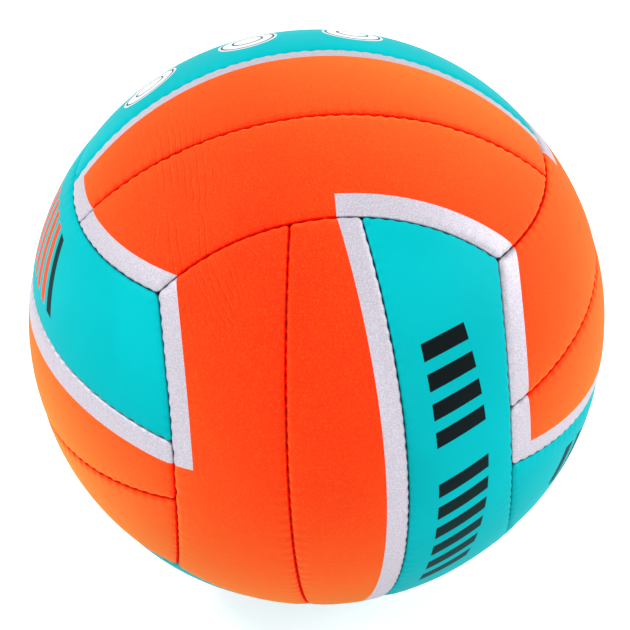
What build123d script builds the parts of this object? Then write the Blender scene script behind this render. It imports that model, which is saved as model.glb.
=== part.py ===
from build123d import *

import os
from math import acos, asin, cos, degrees, floor, pi, radians, sin, sqrt, tan

# A stitched indoor volleyball, sizes in mm, ball centre at the origin, +Z up, front towards -Y.
# Six faces of a cube are blown up to a sphere and each is cut into three strips.
# Every strip is a skin with its seam edges turned in, a foam pad and a lining patch behind it.
# The strips are sewn together along the turned-in edges, around a rubber bladder with a valve.

# Size of the whole ball
BALL_CIRCUMFERENCE = 660.0

# Layers of the cover, from the outside in
SKIN_THICKNESS = 1.2
FOAM_THICKNESS = 3.0
LINING_THICKNESS = 0.8
BLADDER_WALL = 0.9
GLUE_LINE = 0.1
LINING_SETBACK = 0.4

# Seams
SEAM_GAP = 0.2
FLANGE_THICKNESS = 1.1
EDGE_ROUNDING = 1.6
CORNER_ROUNDING = 2.0
STITCH_PITCH = 4.3
STITCH_DIAMETER = 0.5
THREAD_DIAMETER = 0.7
HOLE_CLEARANCE = 0.15
THREAD_CLEARANCE = 0.15
STITCH_END_MARGIN = 4.0

# Valve
NECK_DIAMETER = 7.0
NECK_CLEARANCE = 0.25
NECK_SETBACK = 0.3
VALVE_LENGTH = 22.0
VALVE_BODY_DIAMETER = 10.0
VALVE_FLANGE_DIAMETER = 28.0
VALVE_FLANGE_THICKNESS = 1.4
PLUG_HEAD_DIAMETER = 5.2
PLUG_HEAD_THICKNESS = 1.2
PLUG_STEM_DIAMETER = 4.0
PLUG_CLEARANCE = 0.08
NEEDLE_BORE_DIAMETER = 2.4
NEEDLE_BORE_DEPTH = 12.0

# Radii of the layers
OUTER_RADIUS = BALL_CIRCUMFERENCE / (2 * pi)
SKIN_INNER = OUTER_RADIUS - SKIN_THICKNESS
FOAM_OUTER = SKIN_INNER - GLUE_LINE
FOAM_INNER = FOAM_OUTER - FOAM_THICKNESS
LINING_OUTER = FOAM_INNER - GLUE_LINE
LINING_INNER = LINING_OUTER - LINING_THICKNESS
BLADDER_OUTER = LINING_INNER - GLUE_LINE
BLADDER_INNER = BLADDER_OUTER - BLADDER_WALL
STITCH_RADIUS = (SKIN_INNER + FOAM_INNER) / 2

# Angles of the pattern: cube corner from any axis, half a face across, half a middle strip
CORNER_ANGLE = degrees(acos(1 / sqrt(3)))
HALF_FACE_ANGLE = 90 - CORNER_ANGLE
HALF_STRIP_ANGLE = HALF_FACE_ANGLE / 3

# Distances from a seam to the walls beside it
FLANGE_OUTSIDE = SEAM_GAP / 2
FLANGE_INSIDE = FLANGE_OUTSIDE + FLANGE_THICKNESS
RAIL_OFFSET = FLANGE_INSIDE + THREAD_CLEARANCE + THREAD_DIAMETER / 2
FOAM_INSET = RAIL_OFFSET + THREAD_DIAMETER / 2 + THREAD_CLEARANCE
REACH = 2 * OUTER_RADIUS


def seat(z_dir, x_dir):
    """Frame through the ball centre with the given axis and start direction."""
    return Plane(origin=(0, 0, 0), x_dir=x_dir, z_dir=z_dir)


def cone_about(axis, start, inset):
    """Solid cone from the ball centre through four cube corners, its wall moved inwards by inset."""
    height = 1.1 * OUTER_RADIUS
    cone = Cone(0, height * tan(radians(CORNER_ANGLE)), height, align=(Align.CENTER, Align.CENTER, Align.MIN))
    return seat(axis, start) * (Pos(0, 0, inset / sin(radians(CORNER_ANGLE))) * cone)


def half_space(turn, inset):
    """Large block on one side of a plane through the X axis, moved off the plane by inset."""
    block = Box(2 * REACH, REACH, 2 * REACH, align=(Align.CENTER, Align.MIN, Align.CENTER))
    return Rot(X=turn) * (Pos(0, inset, 0) * block)


def belt(inner, outer, inset):
    """Shell band about the Y axis over the +Z face, from the wall of the -Y cone to beyond the pole."""
    arcs = []
    for radius in (inner, outer):
        wall = radians(CORNER_ANGLE) + asin(inset / radius)
        points = [(radius * sin(a), -radius * cos(a)) for a in (wall, radians(80), radians(100))]
        arcs.append(ThreePointArc(*points))
    near = Line(arcs[0] @ 0, arcs[1] @ 0)
    far = Line(arcs[0] @ 1, arcs[1] @ 1)
    section = make_face([near, arcs[1], far, arcs[0]])
    return Rot(Y=-150) * revolve(section, Axis.Y, 120)


def strip(inner, outer, inset, middle):
    """Strip of the +Z face between two radii, all its sides drawn in by inset."""
    ends = cone_about((0, 0, 1), (0, 1, 0), inset)
    if middle:
        body = (Rot(X=90) * Sphere(outer) - Rot(X=90) * Sphere(inner)) & ends
        return body & half_space(HALF_STRIP_ANGLE, inset) & half_space(180 - HALF_STRIP_ANGLE, inset)
    return belt(inner, outer, inset) & half_space(180 + HALF_STRIP_ANGLE, inset) & ends


# Seams of the +Z face: frame, polar angle of the seam about its axis, half length as an angle
LONG_SIDE = seat((0, -1, 0), (0, 0, 1))
STRIP_LEAN = radians(HALF_STRIP_ANGLE)
STRIP_SEAM = seat((0, -cos(STRIP_LEAN), -sin(STRIP_LEAN)), (0, -sin(STRIP_LEAN), cos(STRIP_LEAN)))
STRIP_SEAM_OTHER = seat((0, cos(STRIP_LEAN), -sin(STRIP_LEAN)), (0, sin(STRIP_LEAN), cos(STRIP_LEAN)))
END_LEFT = seat((0, 0, 1), (-1, 0, 0))
END_RIGHT = seat((0, 0, 1), (1, 0, 0))
STRIP_SEAM_HALF = degrees(acos(cos(radians(CORNER_ANGLE)) / cos(radians(HALF_STRIP_ANGLE))))
JUNCTION = degrees(asin(tan(radians(HALF_STRIP_ANGLE)) / tan(radians(CORNER_ANGLE))))


def spaced(start, end, radius):
    """Angles of evenly spaced stitches between two junctions, clear of both."""
    margin = degrees(STITCH_END_MARGIN / radius)
    length = radians(end - start - 2 * margin) * radius
    count = floor(length / STITCH_PITCH)
    step = (end - start - 2 * margin) / count
    return [start + margin + step * i for i in range(count + 1)]


EDGE_CIRCLE = STITCH_RADIUS * sin(radians(CORNER_ANGLE))
MIDDLE_STITCHES = spaced(-JUNCTION, JUNCTION, EDGE_CIRCLE)
SIDE_STITCHES = spaced(JUNCTION, 45, EDGE_CIRCLE)
SIDE_STITCHES_OTHER = [-angle for angle in reversed(SIDE_STITCHES)]
EDGE_STITCHES = SIDE_STITCHES_OTHER + MIDDLE_STITCHES + SIDE_STITCHES
STRIP_STITCHES = spaced(-STRIP_SEAM_HALF, STRIP_SEAM_HALF, STITCH_RADIUS)


def stitches(frame, polar, angles, diameter, half_length):
    """Short straight four-sided rods across a seam, one at each angle."""
    rod = Pos(0, 0, STITCH_RADIUS) * Box(2 * half_length, diameter, diameter)
    return [frame * (Rot(Z=angle) * (Rot(Y=polar) * rod)) for angle in angles]


def rail(frame, polar, side, angles):
    """Thread lying along one side of a seam, from the first to the last of the stitches."""
    reach = polar + side * degrees(RAIL_OFFSET / STITCH_RADIUS)
    major = STITCH_RADIUS * sin(radians(reach))
    tail = degrees(THREAD_DIAMETER / major)
    turn = angles[-1] - angles[0] + 2 * tail
    outward = (sin(radians(reach)), 0, cos(radians(reach)))
    seat_here = Plane(origin=(major, 0, 0), x_dir=outward, z_dir=(0, 1, 0))
    tube = revolve(seat_here * Rectangle(THREAD_DIAMETER, THREAD_DIAMETER), Axis.Z, turn)
    height = STITCH_RADIUS * cos(radians(reach))
    return frame * (Pos(0, 0, height) * (Rot(Z=angles[0] - tail) * tube))


def sewn(frame, polar, near_groups, far_groups):
    """Lock stitching of one seam: rails on both sides joined by the stitches through the flanges."""
    pieces = [rail(frame, polar, 1, group) for group in far_groups]
    pieces += [rail(frame, polar, -1, group) for group in near_groups]
    for group in near_groups:
        pieces += stitches(frame, polar, group, STITCH_DIAMETER, RAIL_OFFSET)
    return pieces[0].fuse(*pieces[1:])


def rounded(body):
    """Corners rounded, then the rim of the outer face."""
    upright = [e for e in body.edges() if abs((e @ 0).length - (e @ 1).length) > SKIN_THICKNESS]
    body = fillet(upright, CORNER_ROUNDING)
    rim = [e for e in body.edges() if min((e @ t).length for t in (0, 0.5, 1)) > OUTER_RADIUS - 0.01]
    return fillet(rim, EDGE_ROUNDING)


def cover_panel(middle):
    """Skin of one strip: domed outer face, turned-in flanges all round, needle holes in the flanges."""
    outside = rounded(strip(FOAM_INNER, OUTER_RADIUS, FLANGE_OUTSIDE, middle))
    pocket = strip(FOAM_INNER - 1, SKIN_INNER, FLANGE_INSIDE, middle)
    hole = STITCH_DIAMETER + 2 * HOLE_CLEARANCE
    depth = FLANGE_INSIDE + HOLE_CLEARANCE
    holes = stitches(STRIP_SEAM, 90, STRIP_STITCHES, hole, depth)
    if middle:
        holes += stitches(STRIP_SEAM_OTHER, 90, STRIP_STITCHES, hole, depth)
        holes += stitches(END_LEFT, CORNER_ANGLE, MIDDLE_STITCHES, hole, depth)
        holes += stitches(END_RIGHT, CORNER_ANGLE, MIDDLE_STITCHES, hole, depth)
    else:
        holes += stitches(LONG_SIDE, CORNER_ANGLE, EDGE_STITCHES, hole, depth)
        holes += stitches(END_LEFT, CORNER_ANGLE, SIDE_STITCHES, hole, depth)
        holes += stitches(END_RIGHT, CORNER_ANGLE, SIDE_STITCHES_OTHER, hole, depth)
    return (outside - pocket).cut(*holes)


# Where each face lies: its outward direction, the direction along its strips, names across it
FACES = {
    "top": ((0, 0, 1), (1, 0, 0), ("front", "middle", "rear")),
    "bottom": ((0, 0, -1), (1, 0, 0), ("rear", "middle", "front")),
    "right": ((1, 0, 0), (0, 1, 0), ("lower", "middle", "upper")),
    "left": ((-1, 0, 0), (0, -1, 0), ("lower", "middle", "upper")),
    "back": ((0, 1, 0), (0, 0, 1), ("left", "middle", "right")),
    "front": ((0, -1, 0), (0, 0, 1), ("right", "middle", "left")),
}
VALVE_STRIP = "back_middle"


def strip_frames():
    """Name, frame and kind of all the strips."""
    for face, (outward, along, names) in FACES.items():
        backwards = tuple(-c for c in along)
        yield f"{face}_{names[0]}", seat(outward, along), "side"
        yield f"{face}_{names[1]}", seat(outward, along), "middle"
        yield f"{face}_{names[2]}", seat(outward, backwards), "side"


def along_valve(diameter, start, end):
    """Round bar on the valve axis between two distances from the ball centre."""
    bar = Cylinder(diameter / 2, end - start, align=(Align.CENTER, Align.CENTER, Align.MIN))
    return seat((0, 1, 0), (1, 0, 0)) * (Pos(0, 0, start) * bar)


VALVE_OUTER = OUTER_RADIUS - NECK_SETBACK
VALVE_INNER = VALVE_OUTER - VALVE_LENGTH
PLUG_SEAT = VALVE_OUTER - PLUG_HEAD_THICKNESS
FLANGE_SEAT = BLADDER_INNER - GLUE_LINE


def valve_housing():
    """Rubber tube with a flange bonded to the inside of the bladder, its neck reaching the cover."""
    flange = Sphere(FLANGE_SEAT) - Sphere(FLANGE_SEAT - VALVE_FLANGE_THICKNESS)
    flange = flange & along_valve(VALVE_FLANGE_DIAMETER, VALVE_INNER, OUTER_RADIUS)
    neck = along_valve(NECK_DIAMETER, FLANGE_SEAT - VALVE_FLANGE_THICKNESS, VALVE_OUTER)
    tube = along_valve(VALVE_BODY_DIAMETER, VALVE_INNER, FLANGE_SEAT - VALVE_FLANGE_THICKNESS / 2)
    body = flange + neck + tube
    body = body - along_valve(PLUG_STEM_DIAMETER + 2 * PLUG_CLEARANCE, VALVE_INNER - 1, OUTER_RADIUS)
    head = along_valve(PLUG_HEAD_DIAMETER + 2 * PLUG_CLEARANCE, PLUG_SEAT - PLUG_CLEARANCE, OUTER_RADIUS)
    return body - head


def valve_plug():
    """Soft plug that fills the valve and is pierced for the pump needle."""
    plug = along_valve(PLUG_HEAD_DIAMETER, PLUG_SEAT, VALVE_OUTER)
    plug = plug + along_valve(PLUG_STEM_DIAMETER, VALVE_INNER, PLUG_SEAT)
    return plug - along_valve(NEEDLE_BORE_DIAMETER, VALVE_OUTER - NEEDLE_BORE_DEPTH, OUTER_RADIUS)


def save(name, shape):
    """Write one sub-part."""
    solids = shape.solids()
    shape = solids[0] if len(solids) == 1 else Compound(children=solids)
    export_step(shape, f"parts/{name}.step")
    print(name, len(solids), round(shape.volume, 1))


os.makedirs("parts", exist_ok=True)
valve_hole = along_valve(NECK_DIAMETER + 2 * NECK_CLEARANCE, VALVE_INNER, OUTER_RADIUS + 1)

masters = {}
for kind in ("side", "middle"):
    middle = kind == "middle"
    masters[kind] = {
        "panel": cover_panel(middle),
        "foam": strip(FOAM_INNER, FOAM_OUTER, FOAM_INSET, middle),
        "lining": strip(LINING_INNER, LINING_OUTER, LINING_SETBACK, middle),
    }

for name, frame, kind in strip_frames():
    for layer, master in masters[kind].items():
        piece = frame * master
        if name == VALVE_STRIP:
            piece = piece - valve_hole
        save(f"{name}_{layer}", piece)

edge_groups = [SIDE_STITCHES_OTHER, MIDDLE_STITCHES, SIDE_STITCHES]
edge_thread = sewn(LONG_SIDE, CORNER_ANGLE, edge_groups, [EDGE_STITCHES])
strip_thread = sewn(STRIP_SEAM, 90, [STRIP_STITCHES], [STRIP_STITCHES])
side_frames = [frame for _, frame, kind in strip_frames() if kind == "side"]
save("edge_seam_thread", Compound(children=[frame * edge_thread for frame in side_frames]))
save("strip_seam_thread", Compound(children=[frame * strip_thread for frame in side_frames]))

save("bladder", Sphere(BLADDER_OUTER) - Sphere(BLADDER_INNER) - valve_hole)
save("valve_housing", valve_housing())
save("valve_plug", valve_plug())
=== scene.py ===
import itertools
import math

import bpy
import numpy as np
from mathutils import Matrix, Vector


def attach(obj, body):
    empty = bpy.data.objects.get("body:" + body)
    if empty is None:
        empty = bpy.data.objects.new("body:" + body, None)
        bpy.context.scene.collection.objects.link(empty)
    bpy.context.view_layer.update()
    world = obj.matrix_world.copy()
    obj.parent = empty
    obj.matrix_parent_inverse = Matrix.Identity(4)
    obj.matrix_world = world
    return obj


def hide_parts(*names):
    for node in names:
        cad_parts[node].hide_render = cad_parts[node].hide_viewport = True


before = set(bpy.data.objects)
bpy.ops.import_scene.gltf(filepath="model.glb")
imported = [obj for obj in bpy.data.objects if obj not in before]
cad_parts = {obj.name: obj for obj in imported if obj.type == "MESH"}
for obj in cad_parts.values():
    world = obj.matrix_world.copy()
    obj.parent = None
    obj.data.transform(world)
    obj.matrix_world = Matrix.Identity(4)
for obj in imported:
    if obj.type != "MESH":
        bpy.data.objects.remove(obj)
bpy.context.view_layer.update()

# Ball and cover skin: sizes in mm unless said otherwise, with the ball's centre at the origin
MM = 0.001
CIRCUMFERENCE = 660.0
R = CIRCUMFERENCE / (2 * math.pi)
SKIN = 1.2
SKIN_AT_SEAM = 0.6
FLANGE_DEPTH = 4.2
FLANGE_WIDTH = 1.1

# Relief at the sides of a strip: rounded shoulder, wall into the seam, pull of the stitches, crown
SHOULDER = 2.2
SEAM_DEPTH = 1.1
SEAM_HALF_GAP = 0.08
WALL_SLOPE = 5.0
WALL_DEPTH = 1.6
CORNER = 1.8
NOTCH = 0.20
PUCKER = 0.42
PUCKER_REACH = 2.1
PILLOW = 0.45
PILLOW_REACH = 5.5

# Unevenness of the cover: mean sink, broad swells, and small gathers that fade away from the seams
SINK = 0.06
SWELL = 0.10
GATHER = 0.09
GATHER_REACH = 5.0

# Stitches and thread
STITCH_PITCH = 4.3
STITCH_MARGIN = 4.0
STITCH_DEPTH = 1.55
STITCH_RADIUS = R - SKIN - STITCH_DEPTH
THREAD_RADIUS = 0.22
THREAD_SIDES = 7
THREAD_STEP = 0.62
THREAD_DEPTH = 1.95
THREAD_DIP = 0.3
THREAD_SWAY = 0.10

# Uneven pull of the stitches, and how its seeds are counted
PULL_RANGE = (0.55, 1.25)
SEEDS_PER_STRIP = 4
SEEDS_PER_SIDE = 10
THREAD_SEED = 500

# Valve hole: its strip and radius, the dimple round it, and the tool that cuts it
VALVE_STRIP = "back_middle"
VALVE_HOLE = 3.75
VALVE_DIMPLE = 0.5
VALVE_DIMPLE_REACH = 3.0
DRILL_DEPTH = 20.0
DRILL_SIDES = 72

# Printed bands: width, how much narrower one of them is, and that one's strip and turquoise neighbour
BAND = 8.5
NARROWER = 1.2
NARROW_BAND = ("top_middle", "top_rear")
# Distance from the seam edge within which an orange strip counts as turned in and takes the copy of its
# cover without sheen, a shaded copy that keeps the seams darker and redder
FOLD = 0.45

# Grid of a strip: lines beside each side, steps across between those, and spacing of the columns
NEAR = np.array([
    0, 0.1, 0.2, 0.32, 0.46, 0.64, 0.86, 1.12, 1.42, 1.76, 2.2, 2.75, 3.4, 4.2, 5.2, 6.2,
    BAND - NARROWER, BAND,
])
ROW_STEPS = 27
COLUMN_STEP = 0.72
FINE_STEPS = 400
# Back of the skin: every how many lines of the grid it keeps, and rounds of setting in its rim
BACK_STEP = 6
INSET_ROUNDS = 3
# Place along a side strip's outer side, as a share of R, that tells which half has a band
PROBE = 0.39
# Values that the hidden faces of a strip carry: deep in the seam, and clear of every ornament
HIDDEN_EDGE = -5.0
HIDDEN_ACROSS = 500.0

# Angles in radians: from a face's axis to its edge, and from its middle line to the seams within it
PHI = math.acos(1 / math.sqrt(3))
THETA = (math.pi / 2 - PHI) / 3
# Half the length of a seam within a face, and where that seam meets the edge, round the face's axis
STRIP_HALF = math.acos(math.cos(PHI) / math.cos(THETA))
JUNCTION = math.asin(math.tan(THETA) / math.tan(PHI))
# Where a printed band beside a turquoise strip's end stops, round the axis of that strip's face
BAND_END_SINE = (math.sin(BAND / R) - math.sin(THETA) * math.cos(PHI)) / math.cos(THETA) / math.sin(PHI)
BAND_END = -math.asin(BAND_END_SINE)

# Faces of the ball: outward direction, direction along the strips, names across
FACES = {
    "top": ((0, 0, 1), (1, 0, 0), ("front", "middle", "rear")),
    "bottom": ((0, 0, -1), (1, 0, 0), ("rear", "middle", "front")),
    "right": ((1, 0, 0), (0, 1, 0), ("lower", "middle", "upper")),
    "left": ((-1, 0, 0), (0, -1, 0), ("lower", "middle", "upper")),
    "back": ((0, 1, 0), (0, 0, 1), ("left", "middle", "right")),
    "front": ((0, -1, 0), (0, 0, 1), ("right", "middle", "left")),
}
TURQUOISE_STRIPS = ("front_right", "top_rear", "left_upper", "right_lower", "bottom_front", "back_left")
# Turquoise strip whose bands stay on its own face
OWN_FACE_ONLY = "bottom_front"


def strips():
    """Name, matrix with columns along, across and outward, and kind of each strip."""
    for face, (outward, along, names) in FACES.items():
        z = np.array(outward, float)
        for i, name in enumerate(names):
            x = np.array(along, float) * (-1 if i == 2 else 1)
            yield f"{face}_{name}", np.stack([x, np.cross(z, x), z], 1), "middle" if i == 1 else "side"


STRIPS = {name: (matrix, kind) for name, matrix, kind in strips()}


def face_of(strip):
    return strip.split("_")[0]


def arcsine(value):
    return np.arcsin(np.clip(value, -1, 1))


def arccosine(value):
    return np.arccos(np.clip(value, -1, 1))


def fading(distance, reach):
    """1 at a side and beyond it, falling off over the reach."""
    return np.exp(-np.maximum(distance, 0) / reach)


def lattice(seed, grain, shift, cells=32):
    """Smooth noise from -1 to 1 over unit vectors, with a grain in mm, the same on every run."""
    grid = np.random.default_rng(seed).uniform(-1, 1, (cells, cells, cells))

    def at(directions):
        points = directions * R / grain + shift
        cell = np.floor(points).astype(int)
        t = points - cell
        t = t * t * (3 - 2 * t)
        total = np.zeros(len(points))
        for corner in np.ndindex(2, 2, 2):
            weight = np.prod(np.where(corner, t, 1 - t), axis=1)
            total += weight * grid[tuple(((cell + corner) % cells).T)]
        return total

    return at


swell_noise = lattice(seed=3, grain=26.0, shift=40.0)
gather_noise = lattice(seed=11, grain=2.6, shift=70.0)


# Stitches along the seams, in the same places as in the solids
def spaced(start, end, radius):
    """Angle of the first stitch, step and number of steps on a stretch of seam."""
    margin = STITCH_MARGIN / radius
    length = end - start - 2 * margin
    count = math.floor(length * radius / STITCH_PITCH)
    return start + margin, length / count, count


EDGE_CIRCLE = STITCH_RADIUS * math.sin(PHI)
SIDE_GROUP = spaced(JUNCTION, math.pi / 4, EDGE_CIRCLE)
MIRRORED_GROUP = (-SIDE_GROUP[0] - SIDE_GROUP[1] * SIDE_GROUP[2], SIDE_GROUP[1], SIDE_GROUP[2])
STRIP_GROUPS = [spaced(-STRIP_HALF, STRIP_HALF, STITCH_RADIUS)]
EDGE_GROUPS = [MIRRORED_GROUP, spaced(-JUNCTION, JUNCTION, EDGE_CIRCLE), SIDE_GROUP]


def pull(angle, groups, seed):
    """How hard the thread pulls at each angle along a seam: about 1 at a stitch, 0 half-way to the next."""
    out = np.zeros(len(angle))
    for g, (first, step, count) in enumerate(groups):
        x = (angle - first) / step
        k = np.clip(np.rint(x), 0, count).astype(int)
        strength = np.random.default_rng(seed * SEEDS_PER_SIDE + g).uniform(*PULL_RANGE, count + 1)
        near = np.abs(x - k) <= 0.5
        out = np.where(near, strength[k] * (0.5 + 0.5 * np.cos(2 * math.pi * (x - k))), out)
    return out


# Sides of a strip, in its own frame, for unit vectors p
def seam_normal(sign):
    return np.array([0, -sign * math.cos(THETA), -math.sin(THETA)])


def sides_of(kind, p):
    """Distance in mm from each side (inner seam, other long side, end), angle along it and its stitches."""
    x, y, z = p.T
    end = (R * (PHI - arccosine(z)), np.arctan2(y, np.abs(x)), EDGE_GROUPS)
    along = np.arctan2(x, math.cos(THETA) * z + math.sin(THETA) * np.abs(y))
    if kind == "middle":
        seams = [R * arcsine(-p @ seam_normal(sign)) for sign in (1, -1)]
        return [(seam, along, STRIP_GROUPS) for seam in seams] + [end]
    inner = (R * arcsine(p @ seam_normal(1)), along, STRIP_GROUPS)
    outer = (R * (arccosine(-y) - PHI), np.arctan2(x, z), EDGE_GROUPS)
    return [inner, outer, end]


# Grid lines of a strip: each is a plane (normal, offset) that cuts the unit sphere
def meet(a, b):
    """Points of the unit sphere on both planes, on the +X or +Z side."""
    na, ca, nb, cb = a[..., :3], a[..., 3], b[..., :3], b[..., 3]
    gaa, gab, gbb = (na * na).sum(-1), (na * nb).sum(-1), (nb * nb).sum(-1)
    det = gaa * gbb - gab * gab
    foot = ((ca * gbb - cb * gab) / det)[..., None] * na + ((cb * gaa - ca * gab) / det)[..., None] * nb
    line = np.cross(na, nb)
    t = np.sqrt(np.maximum(1 - (foot * foot).sum(-1), 0) / (line * line).sum(-1))[..., None] * line
    way = np.sign(t[..., 0] + t[..., 2])[..., None]
    return foot + t * np.where(way == 0, 1, way)


def between(first, last, count):
    """Even steps from the first plane to the last, without those two."""
    return [first + (last - first) * i / count for i in range(1, count)]


def row_planes(kind):
    """Planes of the rows from the inner seam to the other long side."""
    n = -seam_normal(1) if kind == "middle" else seam_normal(1)
    near = [np.array([*n, math.sin(d / R)]) for d in NEAR]
    if kind == "middle":
        far = [np.array([*seam_normal(-1), -math.sin(d / R)]) for d in NEAR]
    else:
        far = [np.array([0, -1, 0, math.cos(PHI + d / R)]) for d in NEAR]
    return np.array(near + between(near[-1], far[-1], ROW_STEPS) + far[::-1])


def column_planes(kind, way):
    """Planes of the columns from one end to where the halves meet; way is 1 for the +X half."""
    ends = [np.array([0, 0, 1, math.cos(PHI - d / R)]) for d in NEAR]
    if kind == "middle":
        last = np.array([-1.0, 0, 0, 0])
    else:
        last = np.array([-math.cos(BAND_END), 0, way * math.sin(BAND_END), 0])
    # Even steps along the strip: places found on a fine set of planes
    steps = np.linspace(0, 1, FINE_STEPS)
    fine = np.array([ends[-1] + (last - ends[-1]) * t for t in steps])
    row = row_planes(kind)[len(NEAR) + ROW_STEPS // 2]
    p = meet(np.broadcast_to(row, fine.shape), fine)
    run = np.concatenate([[0], np.cumsum(np.linalg.norm(np.diff(p, axis=0), axis=1) * R)])
    count = round(run[-1] / COLUMN_STEP)
    share = np.interp(np.linspace(0, run[-1], count + 1), run, steps)
    return np.array(ends + [ends[-1] + (last - ends[-1]) * t for t in share[1:]])


def strip_grid(kind):
    """Unit vectors of the strip's grid, rows from the inner seam outwards, columns along +X."""
    rows = row_planes(kind)
    halves = []
    for way in (1, -1):
        cols = column_planes(kind, way)
        shape = (len(rows), len(cols), 4)
        halves.append(meet(np.broadcast_to(rows[:, None], shape), np.broadcast_to(cols[None], shape)))
    return np.concatenate([halves[1] * (-1, 1, 1), halves[0][:, -2::-1]], 1)


GRIDS = {kind: strip_grid(kind) for kind in ("side", "middle")}


def band_of(name, p):
    """Signed distance in mm to the outline, with square corners, round the nearest turquoise strip."""
    world = p @ STRIPS[name][0].T
    best = np.full(len(p), -np.inf)
    for other in TURQUOISE_STRIPS:
        if other == OWN_FACE_ONLY and face_of(name) != face_of(other):
            continue
        matrix, kind = STRIPS[other]
        (inner, _, _), (outer, _, _), (end, end_angle, _) = sides_of(kind, world @ matrix)
        squared = -R * math.sin(PHI) * (BAND_END + end_angle) - BAND
        depth = np.minimum(np.minimum(np.where(end < 0, squared, inner), outer), end)
        if (name, other) == NARROW_BAND:
            depth -= NARROWER
        best = np.maximum(best, depth)
    return best


def grid_of(name):
    """The strip's grid, turned so that the column at its middle lies where a printed band ends."""
    kind = STRIPS[name][1]
    height = math.sqrt(math.sin(PHI) ** 2 - PROBE**2)
    probes = np.array([[way * PROBE, -math.cos(PHI), height] for way in (1, -1)])
    ahead, behind = band_of(name, probes) > -BAND
    turned = kind == "side" and behind and not ahead
    return GRIDS[kind] * (-1, 1, 1) if turned else GRIDS[kind]


# Meshes of the cover strips
def relief(name, kind, p):
    """Depth in mm of the cover below the ball's round, and the distance from its sewn edge."""
    world = p @ STRIPS[name][0].T
    seed = list(STRIPS).index(name) * SEEDS_PER_STRIP
    edges = []
    gathers = np.zeros(len(p))
    for s, (distance, angle, groups) in enumerate(sides_of(kind, p)):
        tug = pull(angle, groups, seed + s)
        edges.append(distance - SEAM_HALF_GAP - NOTCH * tug)
        gathers += PUCKER * tug * fading(distance, PUCKER_REACH)
    edges = np.array(edges)
    short = np.maximum(CORNER - edges, 0)
    d = np.where(short.any(0), CORNER - np.sqrt((short * short).sum(0)), edges.min(0))
    bend = np.clip(1 - d / SHOULDER, 0, 1)
    round_over = SEAM_DEPTH * (1 - np.sqrt(1 - bend**2))
    wall = np.clip(-d * WALL_SLOPE, 0, WALL_DEPTH)
    drop = round_over + wall + gathers + PILLOW * fading(d, PILLOW_REACH)
    uneven = SINK + SWELL * swell_noise(world) + GATHER * gather_noise(world) * fading(d, GATHER_REACH)
    drop += np.maximum(uneven, 0) * (d > 0)
    if name == VALVE_STRIP:
        away = R * arccosine(p[:, 2])
        drop += VALVE_DIMPLE * np.exp(-(((away - VALVE_HOLE) / VALVE_DIMPLE_REACH) ** 2))
    return drop, d


def loop_of(rows, cols):
    """Grid indices of the rim, in order."""
    rim = [(0, c) for c in range(cols)] + [(r, cols - 1) for r in range(1, rows)]
    rim += [(rows - 1, c) for c in range(cols - 2, -1, -1)] + [(r, 0) for r in range(rows - 2, 0, -1)]
    return rim


def side_direction(kind, side, p):
    """Unit tangents that lead away from one side of a strip."""
    if side == 2:
        goal = np.array([0, 0, 1.0])
    elif side == 1 and kind == "side":
        goal = np.array([0, 1.0, 0])
    else:
        goal = seam_normal(1 if side == 0 else -1) * (1 if kind == "side" else -1)
    flat = goal - (goal * p).sum(1)[:, None] * p
    return flat / np.linalg.norm(flat, axis=1)[:, None]


def inset(kind, p, depth):
    """Rim points moved inwards along the round by depth, square to each side they lie on."""
    out = p.copy()
    for _ in range(INSET_ROUNDS):
        for s, (distance, _, _) in enumerate(sides_of(kind, out)):
            short = np.maximum(depth - distance, 0) / R
            out = out + side_direction(kind, s, out) * short[:, None]
            out /= np.linalg.norm(out, axis=1)[:, None]
    return out


def kept_lines(count):
    """Grid lines that the back of the skin keeps."""
    return sorted({*range(0, count, BACK_STEP), count - 1})


def front_faces(rows, cols):
    """Faces between neighbouring lines of the grid."""
    return [
        (r * cols + c, r * cols + c + 1, (r + 1) * cols + c + 1, (r + 1) * cols + c)
        for r in range(rows - 1)
        for c in range(cols - 1)
    ]


def wall_faces(loops):
    """Faces between each closed loop of vertices and the next."""
    faces = []
    for upper, lower in itertools.pairwise(loops):
        for i in range(len(upper)):
            j = (i + 1) % len(upper)
            faces.append((upper[j], upper[i], lower[i], lower[j]))
    return faces


def back_faces(rows, cols, vertex):
    """Faces between the kept lines, with every point of the rim in those beside it."""
    faces = []
    row_steps = itertools.pairwise(kept_lines(rows))
    column_steps = itertools.pairwise(kept_lines(cols))
    for (r0, r1), (c0, c1) in itertools.product(row_steps, column_steps):
        outline = [(r0, c) for c in (range(c0, c1) if r0 == 0 else [c0])]
        outline += [(r, c1) for r in (range(r0, r1) if c1 == cols - 1 else [r0])]
        outline += [(r1, c) for c in (range(c1, c0, -1) if r1 == rows - 1 else [c1])]
        outline += [(r, c0) for r in (range(r1, r0, -1) if c0 == 0 else [r1])]
        faces.append([vertex(r, c) for r, c in reversed(outline)])
    return faces


def add_attributes(mesh, top, edge):
    """Values that the materials read: distance from the sewn edge, which sets the painted seam shade, and
    places along and across.
    """
    hidden = len(mesh.vertices) - len(top)
    along, across = (R * np.arctan2(top[:, i], top[:, 2]) for i in (0, 1))
    values = {
        "edge_mm": np.concatenate([edge, np.full(hidden, HIDDEN_EDGE)]),
        "along_mm": np.concatenate([along, np.zeros(hidden)]),
        "across_mm": np.concatenate([across, np.full(hidden, HIDDEN_ACROSS)]),
    }
    for key, value in values.items():
        mesh.attributes.new(key, "FLOAT", "POINT").data.foreach_set("value", value.astype(np.float32))


def corner_sums(grid):
    """Sum over the four corners of each cell of a grid."""
    return grid[:-1, :-1] + grid[1:, :-1] + grid[:-1, 1:] + grid[1:, 1:]


# Materials of an orange strip, in the order of its slots
ORANGE_SLOTS = ("orange", "silver", "fold")
PLAIN, PRINTED, TURNED_IN = range(3)


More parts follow.
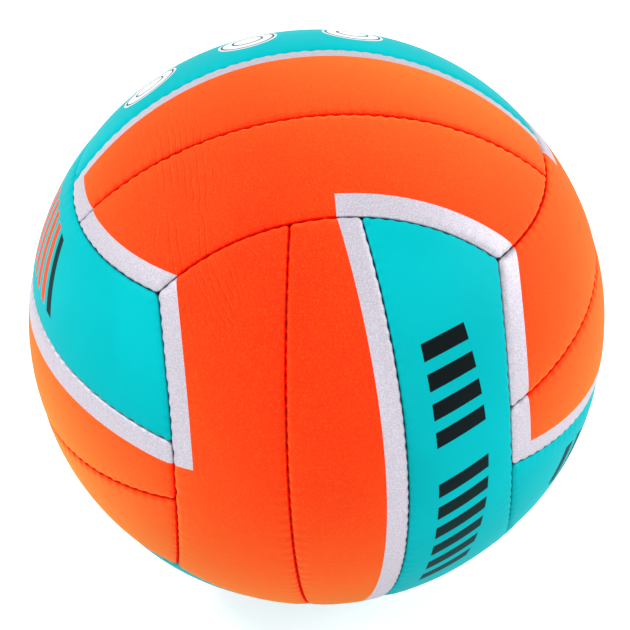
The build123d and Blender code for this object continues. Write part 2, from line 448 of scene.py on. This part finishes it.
def orange_slots(name, grid, edge, rim_points, back_count):
    """Slot of each face of an orange strip: front, the three rounds of walls, back."""
    centres = corner_sums(grid).reshape(-1, 3)
    centres = centres / np.linalg.norm(centres, axis=1)[:, None]
    fold = corner_sums(edge.reshape(grid.shape[:2])).ravel() / 4 < FOLD
    front = np.where(band_of(name, centres) > -BAND, PRINTED, np.where(fold, TURNED_IN, PLAIN))
    wall = np.where(band_of(name, rim_points) > -BAND, PRINTED, TURNED_IN)
    return np.concatenate([front, wall, wall, wall, np.full(back_count, TURNED_IN)])


def panel_mesh(name):
    """Closed shell of one cover strip: puffed face, flanges down the seams, back of the skin."""
    matrix, kind = STRIPS[name]
    grid = grid_of(name)
    rows, cols = grid.shape[:2]
    top = grid.reshape(-1, 3)
    drop, edge = relief(name, kind, top)
    rim = loop_of(rows, cols)
    rim_points = np.array([top[r * cols + c] for r, c in rim])
    inner = inset(kind, rim_points, FLANGE_WIDTH)
    outer = inset(kind, rim_points, SEAM_HALF_GAP)
    back = list(itertools.product(kept_lines(rows)[1:-1], kept_lines(cols)[1:-1]))
    at = [r * cols + c for r, c in back]
    layers = [
        (top, R - drop),
        (outer, R - FLANGE_DEPTH),
        (inner, R - FLANGE_DEPTH),
        (inner, R - SKIN - SEAM_DEPTH),
        (top[at], R - np.maximum(SKIN, drop[at] + SKIN_AT_SEAM)),
    ]
    points = np.concatenate([p * np.broadcast_to(radius, len(p))[:, None] for p, radius in layers]) * MM
    starts = np.cumsum([0] + [len(p) for p, _ in layers])
    loops = [[r * cols + c for r, c in rim]]
    loops += [list(range(start, start + len(rim))) for start in starts[1:4]]
    back_vertex = {rc: starts[3] + i for i, rc in enumerate(rim)}
    back_vertex.update({rc: starts[4] + i for i, rc in enumerate(back)})

    front = front_faces(rows, cols)
    under = back_faces(rows, cols, lambda r, c: back_vertex[r, c])
    faces = front + wall_faces(loops) + under
    a, b, c = (points[i] for i in front[len(front) // 2][:3])
    if np.dot(np.cross(b - a, c - a), a) < 0:
        faces = [tuple(reversed(face)) for face in faces]
    mesh = bpy.data.meshes.new(name)
    mesh.from_pydata((points @ matrix.T).tolist(), [], faces)
    add_attributes(mesh, top, edge)
    mesh.polygons.foreach_set("use_smooth", np.ones(len(faces), bool))
    if name not in TURQUOISE_STRIPS:
        slots = orange_slots(name, grid, edge, rim_points, len(under))
        mesh.polygons.foreach_set("material_index", slots)
    mesh.update()
    return mesh


def drill(piece, matrix):
    """Round hole for the valve through the middle of a strip."""
    bpy.ops.mesh.primitive_cylinder_add(vertices=DRILL_SIDES, radius=VALVE_HOLE * MM, depth=DRILL_DEPTH * MM)
    tool = bpy.context.object
    turn = Matrix(matrix.tolist()).to_4x4()
    tool.matrix_world = turn @ Matrix.Translation((0, 0, R * MM))
    cut = piece.modifiers.new("valve_hole", "BOOLEAN")
    cut.object = tool
    cut.solver = "EXACT"
    bpy.context.view_layer.update()
    graph = bpy.context.evaluated_depsgraph_get()
    drilled = bpy.data.meshes.new_from_object(piece.evaluated_get(graph))
    piece.modifiers.clear()
    piece.data = drilled
    bpy.data.objects.remove(tool)


# Visible thread in the seams
def seam_path(kind):
    """Angles, places, sideways directions and stitches along one seam of the +Z face."""
    groups = STRIP_GROUPS if kind == "strip" else EDGE_GROUPS
    radius = R if kind == "strip" else R * math.sin(PHI)
    first = groups[0][0] - 0.5 * groups[0][1]
    last = groups[-1][0] + (groups[-1][2] + 0.5) * groups[-1][1]
    angle = np.linspace(first, last, round((last - first) * radius / THREAD_STEP))
    sin, cos = np.sin(angle), np.cos(angle)
    if kind == "strip":
        out = np.array([0, -math.sin(THETA), math.cos(THETA)])
        p = cos[:, None] * out + sin[:, None] * np.array([1.0, 0, 0])
        side = np.broadcast_to(seam_normal(1), p.shape)
    else:
        p = np.stack([math.sin(PHI) * sin, np.full(len(angle), -math.cos(PHI)), math.sin(PHI) * cos], 1)
        side = np.stack([math.cos(PHI) * sin, np.full(len(angle), math.sin(PHI)), math.cos(PHI) * cos], 1)
    return angle, p, side, groups


def tube_faces(start, rings):
    """Faces of a thread with closed ends, whose vertices begin at start."""
    loops = [[start + i * THREAD_SIDES + j for j in range(THREAD_SIDES)] for i in range(rings)]
    faces = []
    for lower, upper in itertools.pairwise(loops):
        for j in range(THREAD_SIDES):
            k = (j + 1) % THREAD_SIDES
            faces.append((lower[j], lower[k], upper[k], upper[j]))
    return faces + [tuple(reversed(loops[0])), tuple(loops[-1])]


def thread_mesh(name, kind):
    """Threads of twelve seams: a tube that dips into each stitch hole and crosses from side to side."""
    angle, p, side, groups = seam_path(kind)
    sway = THREAD_SWAY * np.sin(angle * R / STITCH_PITCH * math.pi)
    turns = np.arange(THREAD_SIDES) * 2 * math.pi / THREAD_SIDES
    sideways = np.cos(turns)[None, :, None] * side[:, None]
    outward = np.sin(turns)[None, :, None] * p[:, None]
    points, faces, slots = [], [], []
    for s, (strip, (matrix, strip_kind)) in enumerate(STRIPS.items()):
        if strip_kind != "side":
            continue
        depth = THREAD_DEPTH + THREAD_DIP * pull(angle, groups, THREAD_SEED + s)
        centre = p * (R - depth)[:, None] + side * sway[:, None]
        tube = centre[:, None] + THREAD_RADIUS * (sideways + outward)
        faces += tube_faces(len(points), len(angle))
        points += (tube.reshape(-1, 3) @ matrix.T * MM).tolist()
        reds = (band_of(strip, p) < -BAND).astype(int)
        slots += np.repeat(reds[:-1], THREAD_SIDES).tolist() + [reds[0], reds[-1]]
    mesh = bpy.data.meshes.new(name)
    mesh.from_pydata(points, [], faces)
    mesh.polygons.foreach_set("use_smooth", np.ones(len(faces), bool))
    mesh.polygons.foreach_set("material_index", slots)
    mesh.update()
    return mesh


# Node materials: noise scales are per metre, bump distances in metres
class Nodes:
    """Short way to build a shader."""

    def __init__(self, name):
        self.material = bpy.data.materials.new(name)
        self.material.use_nodes = True
        self.tree = self.material.node_tree
        self.shader = self.tree.nodes["Principled BSDF"]
        self.place = self.tree.nodes.new("ShaderNodeTexCoord").outputs["Object"]

    def feed(self, socket, value):
        if hasattr(value, "links"):
            self.tree.links.new(value, socket)
        else:
            socket.default_value = value

    def math(self, operation, *values):
        node = self.tree.nodes.new("ShaderNodeMath")
        node.operation = operation
        for socket, value in zip(node.inputs, values):
            self.feed(socket, value)
        return node.outputs[0]

    def ramp(self, value, low, high, start=0.0, end=1.0):
        """Smooth step from start, where the value is low, to end, where it is high."""
        node = self.tree.nodes.new("ShaderNodeMapRange")
        node.interpolation_type = "SMOOTHSTEP"
        for socket, v in zip(node.inputs, (value, low, high, start, end)):
            self.feed(socket, v)
        return node.outputs[0]

    def mix(self, factor, a, b):
        node = self.tree.nodes.new("ShaderNodeMix")
        node.data_type = "RGBA"
        self.feed(node.inputs[0], factor)
        self.feed(node.inputs[6], a)
        self.feed(node.inputs[7], b)
        return node.outputs[2]

    def noise(self, scale, detail=2.0, rough=0.5, where=None):
        node = self.tree.nodes.new("ShaderNodeTexNoise")
        self.feed(node.inputs["Vector"], where or self.place)
        node.inputs["Scale"].default_value = scale
        node.inputs["Detail"].default_value = detail
        node.inputs["Roughness"].default_value = rough
        return node.outputs[0]

    def cells(self, scale):
        node = self.tree.nodes.new("ShaderNodeTexVoronoi")
        self.feed(node.inputs["Vector"], self.place)
        node.inputs["Scale"].default_value = scale
        return node.outputs["Distance"]

    def wave(self, scale, axis):
        node = self.tree.nodes.new("ShaderNodeTexWave")
        node.bands_direction = axis
        self.feed(node.inputs["Vector"], self.place)
        node.inputs["Scale"].default_value = scale
        return node.outputs[1]

    def attribute(self, name):
        node = self.tree.nodes.new("ShaderNodeAttribute")
        node.attribute_name = name
        return node.outputs["Fac"]

    def vector(self, operation, a, b=(0, 0, 0)):
        node = self.tree.nodes.new("ShaderNodeVectorMath")
        node.operation = operation
        self.feed(node.inputs[0], a)
        self.feed(node.inputs[1], b)
        return node.outputs["Value" if operation in ("LENGTH", "DOT_PRODUCT") else "Vector"]

    def bump(self, height, distance, strength):
        node = self.tree.nodes.new("ShaderNodeBump")
        node.inputs["Strength"].default_value = strength
        node.inputs["Distance"].default_value = distance
        self.feed(node.inputs["Height"], height)
        self.tree.links.new(node.outputs[0], self.shader.inputs["Normal"])

    def set(self, **values):
        for key, value in values.items():
            self.feed(self.shader.inputs[key.replace("_", " ")], value)


def rgb(*values):
    return (*values, 1.0)


# Colours, in linear light
# Each "seam" colour below is painted shade down in the seams
ORANGE = {
    "deep": rgb(0.98, 0.004, 0.0),
    "warm": rgb(1.0, 0.009, 0.0),
    "speck": rgb(1.0, 0.07, 0.003),
    "pore": rgb(0.86, 0.003, 0.0),
    # Painted shade in the creases
    "crease": rgb(0.62, 0.001, 0.0),
    "seam": rgb(0.62, 0.004, 0.0),
    "sheen": rgb(1.0, 0.72, 0.13),
}
SILVER = {
    "dull": rgb(0.445, 0.42, 0.485),
    "bright": rgb(0.775, 0.735, 0.815),
    "flake": rgb(0.39, 0.36, 0.42),
    "seam": rgb(0.012, 0.010, 0.012),
}
TURQUOISE = {
    "deep": rgb(0.0, 0.45, 0.485),
    "pale": rgb(0.0005, 0.48, 0.52),
    "pore": rgb(0.0, 0.37, 0.405),
    "speck": rgb(0.002, 0.545, 0.58),
    "seam": rgb(0.001, 0.016, 0.018),
    "sheen": rgb(0.0, 0.9, 0.95),
}
DARK_THREAD = (rgb(0.003, 0.003, 0.003), rgb(0.012, 0.010, 0.010), rgb(0.34, 0.30, 0.26))
RED_THREAD = (rgb(0.30, 0.003, 0.0), rgb(0.50, 0.006, 0.0), rgb(0.60, 0.010, 0.0))
CHARCOAL = rgb(0.005, 0.005, 0.006)
BRIGHT_ORANGE = rgb(0.93, 0.075, 0.004)
DISC_WHITE = rgb(0.86, 0.86, 0.87)

# Stretches of a noise's values: nearly all of them, and the middle ones
BROAD = (0.3, 0.7)
MIDDLE = (0.35, 0.65)
# Distance from the sewn edge, in mm, where the painted seam shade is darkest
DARKEST_EDGE = -0.3


def seam_shade(n, colour, shade, reach):
    """Painted shade: darker colour down in the seam, where shade falls."""
    depth = n.ramp(n.attribute("edge_mm"), DARKEST_EDGE, reach)
    return n.mix(depth, shade, colour)


# Fine creases: direction across the lines, middle and reach of each patch, in metres
CREASES = (
    ((1, 0, 0), (-0.046, -0.030, 0.086), (0.022, 0.062, 0.062)),
    ((0.906, 0, 0.423), (-0.038, -0.072, 0.066), (0.014, 0.024, 0.022)),
    ((0, 1, 0), (0.076, 0.040, -0.058), (0.050, 0.014, 0.045)),
    ((0, 0, 1), (0.030, 0.094, 0.034), (0.050, 0.040, 0.013)),
    ((1, 0, 0), (-0.030, 0.060, -0.080), (0.014, 0.050, 0.045)),
)
CREASES_PER_METRE = 420.0
# How far the lines bend and waver, and half their width, in spacings
CREASE_BEND = 2.2
CREASE_WAVER = 1.5
CREASE_HALF_WIDTH = 0.24
# Noise that breaks the lines off: its scale along and across them, and its values where they begin
BREAKS_ALONG = 38.0
BREAKS_ACROSS = 180.0
BREAKS = (0.45, 0.57)
# Where a patch fades out, as shares of its reach, how much painted shade darkens the creases, and how much
# they dent the cover
CREASE_FADE = (0.35, 1.0)
CREASE_SHADE = 0.7
CREASE_DENT = 1.5


def crease_lines(n):
    """1 along fine wavy creases in a few patches, 0 elsewhere."""
    bend = n.math("MULTIPLY", n.noise(scale=45, detail=1.0), CREASE_BEND)
    waver = n.math("MULTIPLY", n.noise(scale=110, detail=2.0), CREASE_WAVER)
    wander = n.math("ADD", bend, waver)
    total = 0.0
    for axis, middle, reach in CREASES:
        phase = n.math("MULTIPLY_ADD", n.vector("DOT_PRODUCT", n.place, axis), CREASES_PER_METRE, wander)
        off = n.math("ABSOLUTE", n.math("SUBTRACT", n.math("FRACT", phase), 0.5))
        stretch = tuple(BREAKS_ALONG + (BREAKS_ACROSS - BREAKS_ALONG) * a * a for a in axis)
        breaks = n.noise(scale=1.0, detail=1.0, where=n.vector("MULTIPLY", n.place, stretch))
        away = n.vector("DIVIDE", n.vector("SUBTRACT", n.place, middle), reach)
        near = n.ramp(n.vector("LENGTH", away), *CREASE_FADE, 1.0, 0.0)
        line = n.math("MULTIPLY", n.ramp(off, 0.0, CREASE_HALF_WIDTH, 1.0, 0.0), n.ramp(breaks, *BREAKS))
        total = n.math("ADD", total, n.math("MULTIPLY", line, near))
    return total


def orange_cover(name, sheen):
    """Finely grained cover with a soft sheen and a few creases, with painted shade in the creases and down
    in the seams.
    """
    n = Nodes(name)
    patch = n.ramp(n.noise(scale=38, detail=3.0), *MIDDLE)
    grain = n.noise(scale=1600, detail=4.0, rough=0.75)
    creases = crease_lines(n)
    base = n.mix(patch, ORANGE["deep"], ORANGE["warm"])
    base = n.mix(n.ramp(grain, 0.50, 0.68, end=0.9), base, ORANGE["speck"])
    base = n.mix(n.ramp(grain, 0.48, 0.28, end=0.75), base, ORANGE["pore"])
    # Painted shade along the creases, where the relief's shade falls
    base = n.mix(n.math("MULTIPLY", creases, CREASE_SHADE), base, ORANGE["crease"])
    # Painted shade down in the seams
    n.set(Base_Color=seam_shade(n, base, ORANGE["seam"], reach=0.34))
    n.set(Roughness=n.ramp(grain, *BROAD, 0.52, 0.68), Specular_IOR_Level=0.03)
    n.set(Sheen_Weight=sheen, Sheen_Roughness=0.64, Sheen_Tint=ORANGE["sheen"])
    height = n.math("SUBTRACT", grain, n.math("MULTIPLY", creases, CREASE_DENT))
    n.bump(height, distance=0.00016, strength=0.8)
    return n.material


def silver_print():
    """Silver ink with fine flakes."""
    n = Nodes("silver_print")
    flake = n.cells(scale=2600)
    grain = n.noise(scale=2300, detail=3.0, rough=0.7)
    base = n.mix(n.ramp(grain, *BROAD), SILVER["dull"], SILVER["bright"])
    base = n.mix(n.ramp(flake, 0.2, 0.7, end=0.35), base, SILVER["flake"])
    # Painted shade down in the seams
    n.set(Base_Color=seam_shade(n, base, SILVER["seam"], reach=0.32))
    n.set(Metallic=n.ramp(grain, *MIDDLE, 0.18, 0.52), Roughness=n.ramp(grain, *BROAD, 0.48, 0.64))
    n.set(Specular_IOR_Level=0.4)
    n.bump(flake, distance=0.00006, strength=0.7)
    return n.material


def turquoise_cover(name, ink=None):
    """Finely grained cover, with or without a printed ornament."""
    n = Nodes(name)
    patch = n.ramp(n.noise(scale=30, detail=3.0), *MIDDLE)
    grain = n.noise(scale=1900, detail=4.0, rough=0.7)
    base = n.mix(patch, TURQUOISE["deep"], TURQUOISE["pale"])
    base = n.mix(n.ramp(grain, 0.46, 0.28, end=0.5), base, TURQUOISE["pore"])
    base = n.mix(n.ramp(grain, 0.54, 0.72, end=0.4), base, TURQUOISE["speck"])
    if ink:
        base = ink(n, base)
    # Painted shade down in the seams
    n.set(Base_Color=seam_shade(n, base, TURQUOISE["seam"], reach=0.4))
    n.set(Roughness=n.ramp(grain, *BROAD, 0.46, 0.58), Specular_IOR_Level=0.03)
    n.set(Sheen_Weight=0.12, Sheen_Roughness=0.5, Sheen_Tint=TURQUOISE["sheen"])
    n.bump(grain, distance=0.00005, strength=0.6)
    return n.material


# Plain printed ornaments, in mm along and across a strip
FRONT_BARS = {"lean": 0.30, "pitch": 11.6, "wide": 6.8, "reach": (-53.0, -32.5)}
UPPER_BARS = {"lean": 0.55, "pitch": 9.0, "wide": 5.2, "reach": (-56.0, -31.0)}
LOWER_BARS = {"lean": -0.30, "pitch": 11.0, "wide": 6.4, "reach": (-53.0, -32.5)}
BAR_START = 0.5
DISC_PITCH = 42.0
DISC_SHIFT = 3.0
DISC_RISE = 45.0
DISC_RADIUS = 12.0
DISC_RINGS = ((10.2, 11.0), (5.6, 6.4))
DISC_RUN = (-DISC_PITCH - DISC_SHIFT, 2 * DISC_PITCH - DISC_SHIFT)


def under_limit(n, value, limit, soft):
    """1 under the limit and 0 over it, with a printed edge."""
    return n.ramp(value, limit - soft, limit + soft, 1.0, 0.0)


def box_mask(n, value, low, high, soft=0.12):
    """1 between low and high, with printed edges."""
    return n.math("MULTIPLY", n.ramp(value, low - soft, low + soft), under_limit(n, value, high, soft))


def slanted_bars(n, base, colour, bars, lean, pitch, wide, reach):
    """Row of slanted bars: bars is where it begins and ends, in pitches, and reach its limits across."""
    along, across = n.attribute("along_mm"), n.attribute("across_mm")
    slide = n.math("ADD", along, n.math("MULTIPLY", across, lean))
    step = n.math("WRAP", slide, pitch, 0.0)
    begin, end = (pitch * bar for bar in bars)
    inside = n.math("MULTIPLY", box_mask(n, slide, begin, end), box_mask(n, across, *reach))
    bar = box_mask(n, step, BAR_START, BAR_START + wide)
    return n.mix(n.math("MULTIPLY", bar, inside), base, colour)


def front_ink(n, base):
    """A long row of dark bars and a short one, apart."""
    base = slanted_bars(n, base, CHARCOAL, (-7, -1), **FRONT_BARS)
    return slanted_bars(n, base, CHARCOAL, (0, 4), **FRONT_BARS)


def upper_ink(n, base):
    """Orange bars with one dark bar before them."""
    base = slanted_bars(n, base, BRIGHT_ORANGE, (-4, 3), **UPPER_BARS)
    return slanted_bars(n, base, CHARCOAL, (-5, -4), **UPPER_BARS)


def lower_ink(n, base):
    """One row of dark bars."""
    return slanted_bars(n, base, CHARCOAL, (-5, 3), **LOWER_BARS)


def rear_ink(n, base):
    """Plain white discs, each with two dark rings."""
    along, across = n.attribute("along_mm"), n.attribute("across_mm")
    place = n.math("WRAP", n.math("ADD", along, DISC_SHIFT), DISC_PITCH, 0.0)
    step = n.math("SUBTRACT", place, DISC_PITCH / 2)
    rise = n.math("ADD", across, DISC_RISE)
    away = n.math("SQRT", n.math("ADD", n.math("MULTIPLY", step, step), n.math("MULTIPLY", rise, rise)))
    inside = box_mask(n, along, *DISC_RUN)
    disc = under_limit(n, away, DISC_RADIUS, soft=0.1)
    base = n.mix(n.math("MULTIPLY", disc, inside), base, DISC_WHITE)
    for inner, outer in DISC_RINGS:
        base = n.mix(n.math("MULTIPLY", box_mask(n, away, inner, outer), inside), base, CHARCOAL)
    return base


def cover_materials():
    """Materials by the name of their use or of the one strip that has them."""
    return {
        "orange": orange_cover("orange_cover", sheen=0.58),
        # Shaded copy of the orange cover without sheen, for the turned-in faces down in the seams
        "fold": orange_cover("orange_fold_shaded", sheen=0.0),
        "silver": silver_print(),
        "turquoise": turquoise_cover("turquoise_cover"),
        "front_right": turquoise_cover("turquoise_long_bars", front_ink),
        "left_upper": turquoise_cover("turquoise_orange_bars", upper_ink),
        "right_lower": turquoise_cover("turquoise_bars", lower_ink),
        "top_rear": turquoise_cover("turquoise_discs", rear_ink),
    }


def sewing_thread(name, dark, pale, bits):
    """Twisted thread with a few lighter bits of fluff."""
    n = Nodes(name)
    light = n.ramp(n.noise(scale=420, detail=2.0), 0.72, 0.78)
    twist = n.noise(scale=5200, detail=2.0)
    base = n.mix(n.ramp(twist, *BROAD), dark, pale)
    n.set(Base_Color=n.mix(light, base, bits), Roughness=n.ramp(twist, *BROAD, 0.6, 0.85))
    n.set(Specular_IOR_Level=0.1)
    n.bump(twist, distance=0.00008, strength=0.7)
    return n.material


def fibre(name, colour, dark, scale, weave):
    """Woven cloth, or foam where there is no weave."""
    n = Nodes(name)
    if weave:
        threads = n.math("MULTIPLY", n.wave(scale, "X"), n.wave(scale, "Z"))
    else:
        threads = n.noise(scale, detail=3.0)
    n.set(Base_Color=n.mix(threads, dark, colour), Roughness=n.ramp(threads, 0.0, 1.0, 0.95, 0.75))
    n.bump(threads, distance=0.0002, strength=0.6)
    return n.material


def rubber(name, red, green, blue, scale, lighter=1.7):
    """Dull rubber with a fine grain of a lighter shade."""
    n = Nodes(name)
    grain = n.noise(scale, detail=4.0)
    pale = rgb(lighter * red, lighter * green, lighter * blue)
    n.set(Base_Color=n.mix(n.ramp(grain, *BROAD), rgb(red, green, blue), pale))
    n.set(Roughness=n.ramp(grain, *BROAD, 0.5, 0.75), Specular_IOR_Level=0.35)
    n.bump(grain, distance=0.0001, strength=0.4)
    return n.material


# Pieces
def add_object(name, mesh, *materials):
    for material in materials:
        mesh.materials.append(material)
    piece = bpy.data.objects.new(name, mesh)
    bpy.context.scene.collection.objects.link(piece)
    return piece


def build_covers():
    materials = cover_materials()
    orange = [materials[key] for key in ORANGE_SLOTS]
    for name, (matrix, _) in STRIPS.items():
        turquoise = name in TURQUOISE_STRIPS
        used = [materials.get(name, materials["turquoise"])] if turquoise else orange
        piece = add_object(f"{name}_cover", panel_mesh(name), *used)
        if name == VALVE_STRIP:
            drill(piece, matrix)
        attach(piece, "ball")
        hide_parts(f"{name}_panel")


def build_threads():
    threads = (sewing_thread("dark_thread", *DARK_THREAD), sewing_thread("red_thread", *RED_THREAD))
    for kind in ("edge", "strip"):
        name = f"{kind}_seam_stitching"
        piece = add_object(name, thread_mesh(name, kind), *threads)
        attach(piece, "ball")
        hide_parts(f"{kind}_seam_thread")


def dress_inner_layers():
    """Materials of the layers and the valve, which keep their solids."""
    foam = fibre("foam_pad", rgb(0.84, 0.82, 0.77), rgb(0.62, 0.60, 0.55), scale=900, weave=False)
    cloth = fibre("lining_weave", rgb(0.80, 0.77, 0.70), rgb(0.50, 0.47, 0.41), scale=650, weave=True)
    inner = {
        "bladder": rubber("bladder_skin", 0.022, 0.022, 0.024, scale=900),
        "valve_housing": rubber("valve_housing_rubber", 0.030, 0.030, 0.032, scale=1400),
        "valve_plug": rubber("valve_plug_rubber", 0.012, 0.012, 0.013, scale=1800),
    }
    for node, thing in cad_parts.items():
        material = foam if node.endswith("_foam") else cloth if node.endswith("_lining") else inner.get(node)
        if material:
            thing.data.materials.clear()
            thing.data.materials.append(material)


# Floor and light, in metres and watts
FLOOR_HALF = 6.0
FLOOR_GREY = 0.66
FLOOR_GLOW = 0.70
WORLD_STRENGTH = 0.55
LAMPS = (
    {"name": "key", "place": (-1.35, 0.1, 1.85), "width": 0.9, "power": 39.0},
    {"name": "fill", "place": (2.0, 0.1, 0.65), "width": 1.1, "power": 27.0},
    {"name": "front", "place": (0.2, -2.1, 0.3), "width": 1.1, "power": 14.0},
)


def floor_material():
    """Pale paper that takes shadows, with a glow for camera, glossy and transmission rays alone."""
    material = bpy.data.materials.new("floor_paper")
    material.use_nodes = True
    tree = material.node_tree
    tree.nodes.clear()
    paper = tree.nodes.new("ShaderNodeBsdfDiffuse")
    paper.inputs["Color"].default_value = rgb(FLOOR_GREY, FLOOR_GREY, FLOOR_GREY)
    glow = tree.nodes.new("ShaderNodeEmission")
    glow.inputs["Strength"].default_value = FLOOR_GLOW
    path = tree.nodes.new("ShaderNodeLightPath")
    seen = path.outputs["Is Camera Ray"]
    for other in ("Is Glossy Ray", "Is Transmission Ray"):
        either = tree.nodes.new("ShaderNodeMath")
        either.operation = "MAXIMUM"
        tree.links.new(seen, either.inputs[0])
        tree.links.new(path.outputs[other], either.inputs[1])
        seen = either.outputs[0]
    nothing = tree.nodes.new("ShaderNodeEmission")
    nothing.inputs["Strength"].default_value = 0.0
    pick = tree.nodes.new("ShaderNodeMixShader")
    tree.links.new(seen, pick.inputs[0])
    tree.links.new(nothing.outputs[0], pick.inputs[1])
    tree.links.new(glow.outputs[0], pick.inputs[2])
    both = tree.nodes.new("ShaderNodeAddShader")
    tree.links.new(paper.outputs[0], both.inputs[0])
    tree.links.new(pick.outputs[0], both.inputs[1])
    end = tree.nodes.new("ShaderNodeOutputMaterial")
    tree.links.new(both.outputs[0], end.inputs[0])
    return material


def build_floor():
    mesh = bpy.data.meshes.new("floor")
    corners = ((-1, -1), (1, -1), (1, 1), (-1, 1))
    mesh.from_pydata([(FLOOR_HALF * x, FLOOR_HALF * y, -R * MM) for x, y in corners], [], [(0, 1, 2, 3)])
    floor = add_object("floor", mesh, floor_material())


def softbox(name, place, width, power):
    """Round lamp that faces the ball."""
    data = bpy.data.lights.new(name, "AREA")
    data.shape = "DISK"
    data.size = width
    data.energy = power
    lamp = bpy.data.objects.new(name, data)
    lamp.location = place
    lamp.rotation_euler = (-Vector(place)).to_track_quat("-Z", "Y").to_euler()
    bpy.context.scene.collection.objects.link(lamp)


def build_light():
    world = bpy.data.worlds.new("studio")
    bpy.context.scene.world = world
    world.use_nodes = True
    sky = world.node_tree.nodes["Background"]
    sky.inputs["Color"].default_value = rgb(1.0, 1.0, 1.0)
    sky.inputs["Strength"].default_value = WORLD_STRENGTH
    for lamp in LAMPS:
        softbox(**lamp)


# Camera as in the photograph: direction, roll and distance, and the ball's radius and centre in pixels
ELEVATION = math.radians(35.65)
AZIMUTH = math.radians(-4.61)
ROLL = math.radians(3.01)
DISTANCE_IN_RADII = 19.0
DISTANCE = DISTANCE_IN_RADII * R * MM
CLIP_END = 50.0
BALL_PIXELS = 288.37
BALL_CENTRE = (316.6, 316.93)
FRAME_PIXELS = 630.0
SENSOR = 36.0


def build_camera():
    level_share = math.cos(ELEVATION)
    toward = Vector((math.sin(AZIMUTH) * level_share, -math.cos(AZIMUTH) * level_share, math.sin(ELEVATION)))
    level = Vector((0, 0, 1)).cross(toward).normalized()
    upright = toward.cross(level)
    up = upright * math.cos(ROLL) + level * math.sin(ROLL)
    right = up.cross(toward)
    camera = bpy.data.objects.new("camera", bpy.data.cameras.new("camera"))
    bpy.context.scene.collection.objects.link(camera)
    turned = Matrix((right, up, toward)).transposed().to_4x4()
    camera.matrix_world = Matrix.Translation(toward * DISTANCE) @ turned
    focal_pixels = BALL_PIXELS / math.tan(math.asin(R * MM / DISTANCE))
    camera.data.sensor_width = SENSOR
    camera.data.lens = SENSOR * focal_pixels / FRAME_PIXELS
    camera.data.shift_x = -(BALL_CENTRE[0] - FRAME_PIXELS / 2) / FRAME_PIXELS
    camera.data.shift_y = (BALL_CENTRE[1] - FRAME_PIXELS / 2) / FRAME_PIXELS
    camera.data.clip_end = CLIP_END
    bpy.context.scene.camera = camera


build_covers()
build_threads()
dress_inner_layers()
build_floor()
build_light()
build_camera()
bpy.context.scene.view_settings.view_transform = "Standard"
